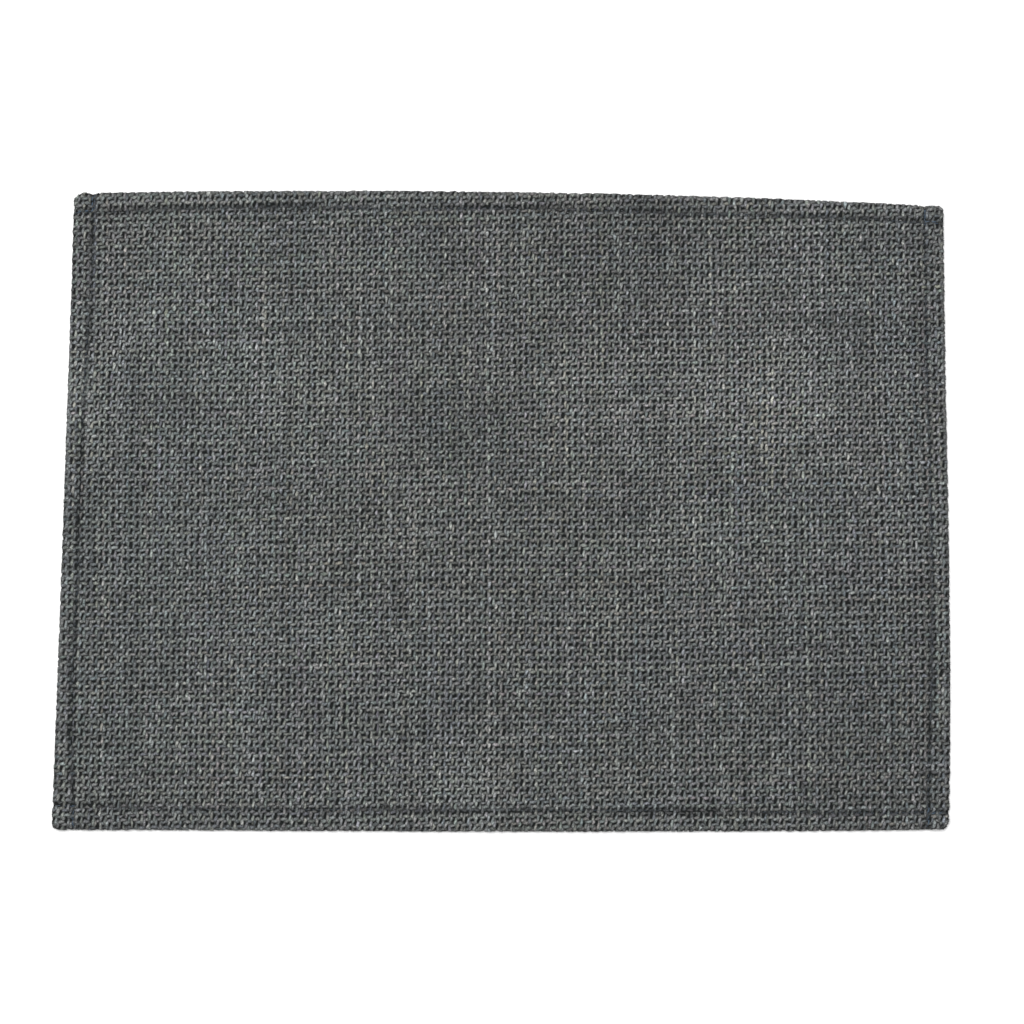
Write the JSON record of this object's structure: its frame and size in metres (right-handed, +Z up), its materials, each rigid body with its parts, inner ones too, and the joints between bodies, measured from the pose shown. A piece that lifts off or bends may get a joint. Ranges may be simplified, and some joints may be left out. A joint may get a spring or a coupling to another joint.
{
  "type": "fabric placemat",
  "caption": "Rectangular placemat of thick basket-woven cloth, lying flat, its edges turned under and stitched as a hem all round.",
  "frame": {"origin": "middle of the mat's footprint, on the surface that it lies on", "axes": "+X along the long side, +Y along the short side towards the picture's top edge, +Z up through the cloth's thickness"},
  "size_m": [0.4596, 0.3338, 0.0045],
  "materials": {
    "cloth": "matt woven melange yarn"
  },
  "bodies": {
    "root": {"placemat_cloth": "cloth"}
  },
  "joints": []
}
